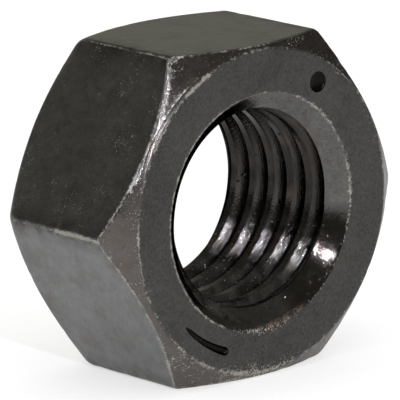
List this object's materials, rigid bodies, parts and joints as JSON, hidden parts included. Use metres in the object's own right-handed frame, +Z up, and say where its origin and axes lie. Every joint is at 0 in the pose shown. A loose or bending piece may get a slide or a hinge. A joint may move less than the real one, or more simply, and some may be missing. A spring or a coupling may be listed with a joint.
{
  "type": "hex nut",
  "caption": "Plain steel hexagon nut with chamfered faces, a countersunk right-hand threaded hole and a stamped strength mark.",
  "frame": {"origin": "on the thread axis, halfway between the two bearing faces", "axes": "+Y along the thread axis, from the marked face to the plain face; +Z up, square to the flat opposite the one the nut stands on; +X across two corners"},
  "size_m": [0.0344, 0.016, 0.03],
  "materials": {
    "blackened_steel": "black oxide with an oily satin sheen, worn pale along the edges"
  },
  "bodies": {
    "root": {"hex_nut": "blackened_steel"}
  },
  "joints": []
}
